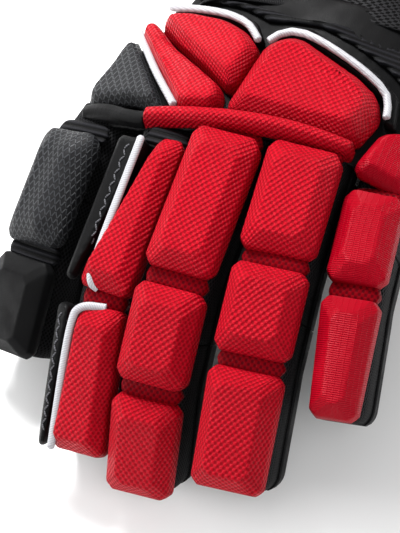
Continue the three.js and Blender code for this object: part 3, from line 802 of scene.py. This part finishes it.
def finger_skins():
    """The cloth, leather and crease that cross each finger's hinges."""
    for digit, segments in all_segments.items():
        for segment in segments:
            number, last = segment["number"], segment is segments[-1]
            span = -segment["low"][1]
            back = 15 * MM if number == 1 else -segments[number - 2]["low"][1] / 2
            ahead = span - 1.0 * MM if last else span / 2 + 0.8 * MM
            lining = finger_lining(segment, back, ahead, last)
            finger_palm(segment, back, ahead, last)
            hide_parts(f"{digit}_sleeve_{number}")
            red = digit in ("middle", "ring", "little") or (digit == "index" and number > 1)
            # the red rolls take the shaded red weave: painted shade in the crease
            look = ("shaded red weave", "red_weave") if red else ("band", "black_fabric")
            fold_roll(segment, *look)


# ---- Small parts on the fingers ----


def plain_piece(name, source, finish, body, voxel, rounds):
    """A piece of cloth, leather or cord that keeps the shape of its CAD solid."""
    obj = soft_copy(name, source, voxel=voxel, rounds=rounds)
    dress(obj, finish, body)
    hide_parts(source)


def stitches(name, obj, places, out, body, length, thick, step, zigzag):
    """Short threads laid on obj along a line of places, each dropped on to it against out."""
    thread = ((-1, 0.25, -0.3), (-0.7, 0.9, 0.2), (0, 1, 0.45), (0.7, 0.9, 0.2), (1, 0.25, -0.3))
    sides = 6
    tree = BVHTree.FromPolygons([v.co for v in obj.data.vertices], [p.vertices for p in obj.data.polygons])
    line = [Vector(p) for p in places]
    points, faces, laid = [], [], []
    carried, side = 0.0, 1
    for a, b in zip(line, line[1:]):
        along = b - a
        reach = along.length
        along.normalize()
        while carried < reach:
            out_way = Vector(out).normalized()
            lean = along.cross(out_way) * zigzag * side * MM
            found = tree.ray_cast(a + along * carried + out_way * 25 * MM, -out_way, 60 * MM)
            if found[0] is not None:
                up = found[1].normalized()
                run = (along * length * MM + lean * 2).normalized()
                run = (run - up * run.dot(up)).normalized()
                wide = up.cross(run)
                middle = found[0] + up * 0.15 * MM
                base = len(points)
                for t, girth, lift in thread:
                    place = middle + run * t * length / 2 * MM
                    for k in range(sides):
                        angle = 2 * math.pi * k / sides
                        ring = wide * math.cos(angle) + up * math.sin(angle)
                        points.append(place + ring * thick * girth * MM + up * lift * thick * MM)
                        laid.append((thick * math.cos(angle) * MM, t * length / 2 * MM, 0))
                faces += [tuple(base + i for i in face) for face in tube_faces(len(thread), sides)]
            carried += step * MM
            side = -side
        carried -= reach
    made = mesh_piece(name, points, faces)
    write_cloth(made, laid)
    dress(made, "thread", body)


def cord_along(name, line, up, radius, finish, body, flat=0.75):
    """A cord sewn down along a line of places, slightly flattened against up."""
    places = [Vector(p) for p in line]
    for _ in range(3):
        eased = [places[0]]
        for a, b in zip(places, places[1:]):
            eased += [a.lerp(b, 0.25), a.lerp(b, 0.75)]
        places = [*eased, places[-1]]
    sides = 12
    points, laid, length = [], [], 0.0
    for i, place in enumerate(places):
        before, after = places[max(0, i - 1)], places[min(len(places) - 1, i + 1)]
        along = (after - before).normalized()
        wide = along.cross(up).normalized()
        high = wide.cross(along)
        length += (place - before).length if i else 0
        girth = radius * MM * (0.55 if i in (0, len(places) - 1) else 1)
        for k in range(sides):
            angle = 2 * math.pi * k / sides
            points.append(place + wide * girth * math.cos(angle) + high * girth * flat * math.sin(angle))
            laid.append((girth * angle, length, 0))
    obj = mesh_piece(name, points, tube_faces(len(places), sides))
    write_cloth(obj, laid)
    dress(obj, finish, body)
    return obj


def index_trim():
    """The stitched wall along the index finger's thumb side, and the braid between it and the pads."""
    for segment in all_segments["index"]:
        n, axes, body = segment["number"], segment["axes"], segment["body"]
        up = axes.col[2].xyz
        wall = f"index_side_wall_{n}"
        side = padded_piece(
            f"index_soft_side_wall_{n}", wall, axes, "shell", "black_shell", body, fill=0.5, pressure=1.5
        )
        block = seen_from(axes, points_of(nodes[wall]))
        low, high = block.min(0), block.max(0)
        middle = (low[0] + high[0]) / 2 - 0.5 * MM
        seam = np.linspace(high[1] - 5 * MM, low[1] + 6 * MM, 12)
        line = [axes @ Vector((middle, y, high[2])) for y in seam]
        stitches(
            f"index_wall_stitching_{n}", side, line, up, body, length=3.0, thick=0.38, step=2.9, zigzag=1.0
        )
        cord = seen_from(axes, points_of(nodes[f"index_piping_{n}"]))
        x, z = cord[:, 0].mean() + 0.5 * MM, cord[:, 2].max() - 1.6 * MM
        near, far = segment["high"][1] + 1.0 * MM, segment["low"][1] - 1.0 * MM
        if n == 1:
            path = [
                (x, near, z),
                (x, far + 7 * MM, z),
                (x + 1.5 * MM, far + 0.8 * MM, z - 2 * MM),
                (x + 5 * MM, far - 0.2 * MM, z - 4 * MM),
            ]
        else:
            path = [
                (x + 15 * MM, near + 1.0 * MM, z - 2 * MM),
                (x + 4 * MM, near + 0.4 * MM, z - 0.5 * MM),
                (x, near - 6 * MM, z),
                (x, far + 1 * MM, z),
            ]
        placed = [axes @ Vector(p) for p in path]
        braid = cord_along(f"index_braid_{n}", placed, up, 1.8, "braid", body)
        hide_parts(f"index_piping_{n}")


# ---- Back of the hand ----

UPRIGHT = Matrix.Identity(4)


def hand_pieces():
    """The pads, braids, walls and rolls on the back of the hand, and the cloth and leather under them."""
    looks = {
        "thumb_root_pad": ("diamonds", "black_shell"),
        "thumb_web_pad": ("red weave", "red_weave"),
        "centre_back_pad": ("red weave", "red_weave"),
        "outer_back_pad": ("red weave", "red_weave"),
        "little_knuckle_pad": ("red nylon", "red_ribbed"),
    }
    for source, (finish, slot) in looks.items():
        padded_piece(source.replace("_pad", "_soft_pad"), source, UPRIGHT, finish, slot, "hand", grow=0.9)
    outward = axes_at(Vector((0, 0, 0)), Vector((0, 1, 0)), Vector((1, 0, 0)))
    padded_piece("outer_side_soft_pad", "outer_side_pad", outward, "red nylon", "red_ribbed", "hand")
    for source in ("thumb_web_piping", "centre_pad_piping", "outer_pad_piping"):
        plain_piece(source.replace("piping", "braid"), source, "braid", "hand", 0.7, 3)
    for source in ("centre_pad_wall", "outer_pad_wall"):
        plain_piece(source + "_cloth", source, "shell", "hand", 0.9, 3)
    for colour, finish, slot in (("red", "red weave", "red_weave"), ("black", "shell", "black_fabric")):
        padded_piece(
            f"knuckle_roll_{colour}", f"knuckle_welt_{colour}", UPRIGHT, finish, slot, "hand",
            fill=0.8, pressure=2, voxel=0.9, rounds=6,
        )
    plain_piece("back_cloth", "back_panel", "shell", "hand", 1.2, 3)
    plain_piece("palm_skin", "palm_shell", "leather", "hand", 1.3, 6)
    plain_piece("palm_patch", "palm_overlay", "leather", "hand", 0.8, 3)
    plain_piece("wrist_flex_band", "wrist_flex_panel", "band", "hand", 1.0, 6)


# ---- Cuff ----


def cuff_pieces():
    """The cuff's three rolls, its outer cloth and the band round its edge."""
    for source in ("cuff_roll_outer", "cuff_roll_centre", "cuff_roll_thumb_side"):
        black = source.endswith("thumb_side")
        look = ("shell", "black_shell") if black else ("red weave", "red_weave")
        padded_piece(source + "_soft", source, UPRIGHT, *look, "cuff", fill=0.8)
    plain_piece("cuff_back_cloth", "cuff_back_shell", "shell", "cuff", 1.4, 5)
    plain_piece("cuff_palm_cloth", "cuff_palm_panel", "leather", "cuff", 1.4, 5)
    plain_piece("cuff_edge_binding", "cuff_binding", "band", "cuff", 1.0, 3)


def section_of(names, low_y, high_y, shrink, count):
    """An even ring of points just inside the outline that these pieces have between two y's."""
    found = np.concatenate([points_of(bpy.data.objects[n]) for n in names])
    found = found[(found[:, 1] >= low_y) & (found[:, 1] <= high_y)][:, [0, 2]]
    middle = (found.min(0) + found.max(0)) / 2
    band = 14 * MM  # points this near a direction count towards it
    ring = []
    for k in range(count):
        way = np.array([math.cos(2 * math.pi * k / count), math.sin(2 * math.pi * k / count)])
        off = (found - middle) @ np.array([[way[0], -way[1]], [way[1], way[0]]])
        near = off[(np.abs(off[:, 1]) < band) & (off[:, 0] > 0)]
        ring.append(near[:, 0].max() - shrink)
    ring = np.array(ring)
    for _ in range(6):
        ring = (np.roll(ring, 1) + 2 * ring + np.roll(ring, -1)) / 4
    angles = 2 * math.pi * np.arange(count) / count
    return middle + np.stack([np.cos(angles) * ring, np.sin(angles) * ring], 1)


def palm_bridge():
    """The leather that turns up from the front of the palm to the underside of the fingers."""
    palm = bpy.data.objects["palm_skin"]
    tree = BVHTree.FromPolygons([v.co for v in palm.data.vertices], [p.vertices for p in palm.data.polygons])
    hinges = sorted((s[0]["axes"].translation for s in all_segments.values()), key=lambda place: place.x)
    xs = [place.x for place in hinges]
    ends = points_of(palm)
    across, steps, thick = 64, 12, 1.4 * MM
    inset = 4 * MM
    columns = []
    for x in np.linspace(ends[:, 0].min() + inset, ends[:, 0].max() - inset, across):
        front = None
        for y in np.arange(-60 * MM, 40 * MM, 0.8 * MM):
            hit = tree.ray_cast(Vector((x, y, -20 * MM)), Vector((0, 0, 1)), 200 * MM)[0]
            if hit is not None:
                front = Vector((x, y + 2.5 * MM, hit.z + 1.2 * MM))
                break
        if front is None:
            continue
        level = np.interp(x, xs, [place.z for place in hinges]) - 11.6 * MM
        edge = np.interp(x, xs, [place.y for place in hinges]) + 9.5 * MM
        columns.append((front, Vector((x, max(edge, front.y - 16 * MM), max(level, front.z + 2 * MM)))))
    for _ in range(4):
        runs = zip(columns, columns[1:], columns[2:])
        eased = [tuple((a[i] + b[i] * 2 + c[i]) / 4 for i in range(2)) for a, b, c in runs]
        columns = [columns[0], *eased, columns[-1]]
    points = []
    for front, top in columns:
        belly = Vector((front.x, min(front.y, top.y) - 3 * MM, (front.z + top.z) / 2))
        for layer in (0.0, thick):
            row = []
            for k in range(steps):
                t = k / (steps - 1)
                place = front * (1 - t) ** 2 + belly * 2 * t * (1 - t) + top * t * t
                row.append(place + Vector((0, layer, 0)))
            points += row if not layer else row[::-1]
    obj = mesh_piece("palm_bridge", points, tube_faces(len(columns), 2 * steps))
    dress(obj, "leather", "hand")


def wrist_lining():
    """The stretch cloth that joins the hand to the cuff, inside both."""
    hand_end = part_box("palm_shell")[1].y
    cuff_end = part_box("cuff_back_shell")[0].y
    count, rings = 96, 22
    near = section_of(["palm_skin", "back_cloth"], hand_end - 14 * MM, hand_end, 5.5 * MM, count)
    far = section_of(["cuff_back_cloth", "cuff_palm_cloth"], cuff_end, cuff_end + 14 * MM, 6.5 * MM, count)
    start, end = hand_end - 9 * MM, cuff_end + 9 * MM
    points, laid = [], []
    for layer in (0.0, 1.2 * MM):
        for r in range(rings):
            t = r / (rings - 1)
            ring = near * (1 - t) + far * t
            middle = ring.mean(0)
            for k, (x, z) in enumerate(ring):
                way = np.array([x, z]) - middle
                size = np.linalg.norm(way)
                fold = 0.5 * MM * math.sin(t * 14 * math.pi)
                x2, z2 = middle + way * (1 - (layer - fold) / size)
                points.append((x2, start + (end - start) * t, z2))
                laid.append((size * 2 * math.pi * k / count, start + (end - start) * t, layer))
    shell = rings * count
    faces = tube_faces(rings, count, False, False)
    faces += [tuple(shell + i for i in face[::-1]) for face in tube_faces(rings, count, False, False)]
    for base in (0, (rings - 1) * count):
        for k in range(count):
            a, b = base + k, base + (k + 1) % count
            faces.append((a, b, shell + b, shell + a))
    obj = mesh_piece("wrist_lining", points, faces)
    write_cloth(obj, laid)
    dress(obj, "mesh")
    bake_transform(obj)


def inner_guards():
    """The stiff plates inside the padding, a little smaller than their pockets, and the cuff's lining."""
    bodies = {"back_guard_plate": "hand", "cuff_guard_plate": "cuff"}
    for segment in all_segments["thumb"]:
        bodies[f"thumb_guard_plate_{segment['number']}"] = segment["body"]
    thumb_share, inset = 0.86, 0.25 * MM
    for source, body in bodies.items():
        obj = soft_copy(source + "_insert", source, voxel=0.7, rounds=1)
        points = points_of(obj)
        if "thumb" in source:
            middle = (points.min(0) + points.max(0)) / 2
            set_points(obj, middle + (points - middle) * thumb_share)
        else:
            set_points(obj, points - normals_of(obj) * inset)
        dress(obj, "plastic", body)
        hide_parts(source)
    liner = nodes["cuff_liner"]
    liner.data.materials.clear()
    liner.data.materials.append(FINISHES["mesh"])


# ---- Floor, lights and camera ----


def studio():
    """A pale floor and three soft lamps."""
    mesh = bpy.data.meshes.new("floor")
    reach = 6.0
    corners = [(-reach, -reach, 0), (reach, -reach, 0), (reach, reach, 0), (-reach, reach, 0)]
    mesh.from_pydata(corners, [], [(0, 1, 2, 3)])
    floor = bpy.data.objects.new("floor", mesh)
    scene.collection.objects.link(floor)
    paper = bpy.data.materials.new("pale floor")
    paper.use_nodes = True
    shader = paper.node_tree.nodes["Principled BSDF"]
    shader.inputs["Base Color"].default_value = (0.94, 0.94, 0.94, 1)
    shader.inputs["Roughness"].default_value = 0.9
    mesh.materials.append(paper)
    world = bpy.data.worlds.new("studio")
    scene.world = world
    world.use_nodes = True
    world.node_tree.nodes["Background"].inputs[0].default_value = (1, 1, 1, 1)
    world.node_tree.nodes["Background"].inputs[1].default_value = 0.5
    lamps = {
        "high_softbox": ((-0.35, 0.5, 0.85), 0.35, 22),
        "front_softbox": ((0.8, -0.7, 1.0), 0.9, 8),
        "side_softbox": ((-0.95, -0.5, 0.45), 0.4, 8),
    }
    for name, (place, width, power) in lamps.items():
        light = bpy.data.lights.new(name, "AREA")
        light.shape = "SQUARE"
        light.size = width
        light.energy = power
        lamp = bpy.data.objects.new(name, light)
        lamp.location = place
        lamp.rotation_euler = (-Vector(place)).to_track_quat("-Z", "Y").to_euler()
        scene.collection.objects.link(lamp)
    scene.view_settings.view_transform = "Standard"


def camera():
    """A long lens above the fingertips, turned a little on its axis."""
    azimuth, elevation, roll = (math.radians(a) for a in (33, 56.5, -16))
    target, distance = Vector((0.011, -0.0849, 0.090)), 1.1
    level = math.cos(elevation)
    back = Vector((math.sin(azimuth) * level, -math.cos(azimuth) * level, math.sin(elevation)))
    right = Vector((math.cos(azimuth), math.sin(azimuth), 0))
    up = back.cross(right)
    x = right * math.cos(roll) + up * math.sin(roll)
    y = up * math.cos(roll) - right * math.sin(roll)
    data = bpy.data.cameras.new("camera")
    data.sensor_width = 36
    data.lens = 179.0
    eye = bpy.data.objects.new("camera", data)
    turn = Matrix((x, y, back)).transposed().to_4x4()
    turn.translation = target + back * distance
    eye.matrix_world = turn
    data.clip_start, data.clip_end = 0.05, 20
    scene.collection.objects.link(eye)
    scene.camera = eye


finger_pads()
finger_skins()
index_trim()
hand_pieces()
cuff_pieces()
palm_bridge()
wrist_lining()
inner_guards()
studio()
camera()
